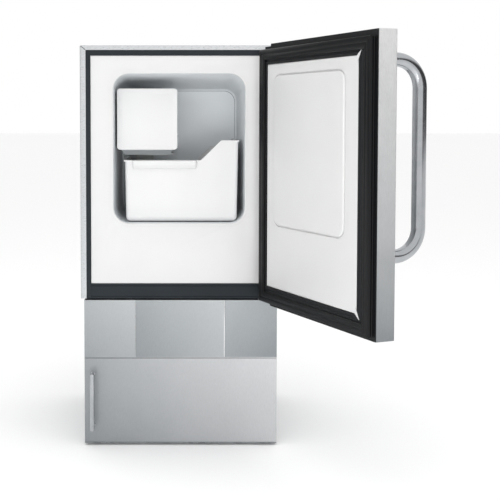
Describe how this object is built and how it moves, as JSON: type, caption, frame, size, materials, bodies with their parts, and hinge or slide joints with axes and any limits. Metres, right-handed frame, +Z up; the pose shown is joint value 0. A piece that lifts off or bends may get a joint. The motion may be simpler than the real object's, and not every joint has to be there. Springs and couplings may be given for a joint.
{
  "type": "ice maker",
  "caption": "Crescent-cube ice maker with a hinged insulated door, a sliding ice bin and a storage pedestal with its own door.",
  "frame": {"origin": "on the floor at the middle of the cabinet's footprint", "axes": "+X to the viewer's right, +Y into the cabinet, +Z up; the front is -Y"},
  "size_m": [0.6175, 0.8174, 0.813],
  "materials": {
    "satin_steel": "satin brushed stainless steel",
    "trim_metal": "bright satin stainless trim",
    "handle_steel": "ground stainless tube",
    "plated_steel": "zinc plated",
    "galvanised_steel": "galvanised sheet",
    "black_enamel": "black enamel",
    "charcoal_plastic": "extruded charcoal plastic",
    "white_liner": "vacuum formed white plastic",
    "grey_tub": "vacuum formed pale grey plastic",
    "white_plastic": "injection moulded white plastic",
    "grey_plastic": "moulded grey plastic",
    "black_plastic": "moulded black plastic",
    "nylon": "natural nylon",
    "black_vinyl": "extruded black vinyl",
    "black_rubber": "moulded rubber",
    "foam": "rigid polyurethane foam",
    "cast_aluminium": "cast, fine grain",
    "copper": "drawn copper tube",
    "white_tube": "polyethylene tube"
  },
  "bodies": {
    "cabinet": {"base_pan": "galvanised_steel", "breaker_strips": "charcoal_plastic", "cabinet_foam": "foam", "cabinet_shell": "satin_steel", "compressor": "black_enamel", "compressor_grommets": "black_rubber", "compressor_relay_cover": "black_plastic", "condenser_fins": "cast_aluminium", "condenser_tube": "copper", "evaporator_plate": "cast_aluminium", "fan_motor": "black_enamel", "fan_shroud": "galvanised_steel", "fill_cup": "white_plastic", "fill_tube": "white_tube", "filter_drier": "copper", "front_sill": "charcoal_plastic", "front_trim": "trim_metal", "gearbox_housing": "grey_plastic", "hinge_pins": "plated_steel", "ice_compartment_tub": "grey_tub", "ice_mould": "cast_aluminium", "icemaker_bracket": "plated_steel", "icemaker_cover": "white_plastic", "kick_panel_centre": "satin_steel", "kick_panel_left": "satin_steel", "kick_panel_right": "satin_steel", "liner_face": "white_liner", "lower_hinge_plate": "plated_steel", "magnetic_catch": "black_plastic", "mould_heater": "plated_steel", "pedestal_base": "galvanised_steel", "pedestal_shell": "satin_steel", "pedestal_top": "satin_steel", "rear_panel": "galvanised_steel", "rear_panel_screws": "plated_steel", "refrigerant_pipes": "copper", "stripper_comb": "white_plastic", "upper_hinge_plate": "plated_steel", "water_inlet_valve": "white_tube"},
    "main_door": {"door_skin": "satin_steel", "door_foam": "foam", "door_liner": "white_liner", "gasket_retainer": "black_plastic", "door_gasket": "black_vinyl", "door_handle": "handle_steel", "handle_screws": "plated_steel", "door_hinge_bushes": "nylon"},
    "storage_door": {"storage_door_skin": "satin_steel", "storage_door_inner_panel": "galvanised_steel", "storage_handle": "handle_steel", "storage_hinge_bushes": "nylon", "catch_strike": "plated_steel"},
    "ice_bin": {"ice_bin": "white_plastic"},
    "ejector": {"ejector_shaft": "grey_plastic"},
    "shutoff_arm": {"shutoff_arm": "handle_steel"},
    "condenser_fan": {"fan_blade": "black_plastic"},
    "foot_front_left": {"levelling_foot_front_left": "black_plastic"},
    "foot_front_right": {"levelling_foot_front_right": "black_plastic"},
    "foot_rear_left": {"levelling_foot_rear_left": "black_plastic"},
    "foot_rear_right": {"levelling_foot_rear_right": "black_plastic"}
  },
  "joints": [
    {"name": "main_door_hinge", "type": "hinge", "parent": "cabinet", "child": "main_door", "pos_m": [0.189, -0.236, 0.555], "axis": [0, 0, 1], "range_deg": [-112.66, 17.34]},
    {"name": "storage_door_hinge", "type": "hinge", "parent": "cabinet", "child": "storage_door", "pos_m": [0.188, -0.191, 0.093], "axis": [0, 0, 1], "range_deg": [0, 100]},
    {"name": "ice_bin_slide", "type": "slide", "parent": "cabinet", "child": "ice_bin", "axis": [0, -1, 0], "range_m": [0, 0.19]},
    {"name": "ejector_spin", "type": "hinge", "parent": "cabinet", "child": "ejector", "pos_m": [-0.07, -0.05, 0.64], "axis": [0, 1, 0], "continuous": true},
    {"name": "shutoff_arm_hinge", "type": "hinge", "parent": "cabinet", "child": "shutoff_arm", "pos_m": [-0.014, -0.05, 0.612], "axis": [0, 1, 0], "range_deg": [0, 125]},
    {"name": "condenser_fan_spin", "type": "hinge", "parent": "cabinet", "child": "condenser_fan", "pos_m": [-0.1, -0.104, 0.252], "axis": [0, 1, 0], "continuous": true},
    {"name": "foot_screw_front_left", "type": "slide", "parent": "cabinet", "child": "foot_front_left", "axis": [0, 0, -1], "range_m": [0, 0.01]},
    {"name": "foot_screw_front_right", "type": "slide", "parent": "cabinet", "child": "foot_front_right", "axis": [0, 0, -1], "range_m": [0, 0.01]},
    {"name": "foot_screw_rear_left", "type": "slide", "parent": "cabinet", "child": "foot_rear_left", "axis": [0, 0, -1], "range_m": [0, 0.01]},
    {"name": "foot_screw_rear_right", "type": "slide", "parent": "cabinet", "child": "foot_rear_right", "axis": [0, 0, -1], "range_m": [0, 0.01]}
  ]
}
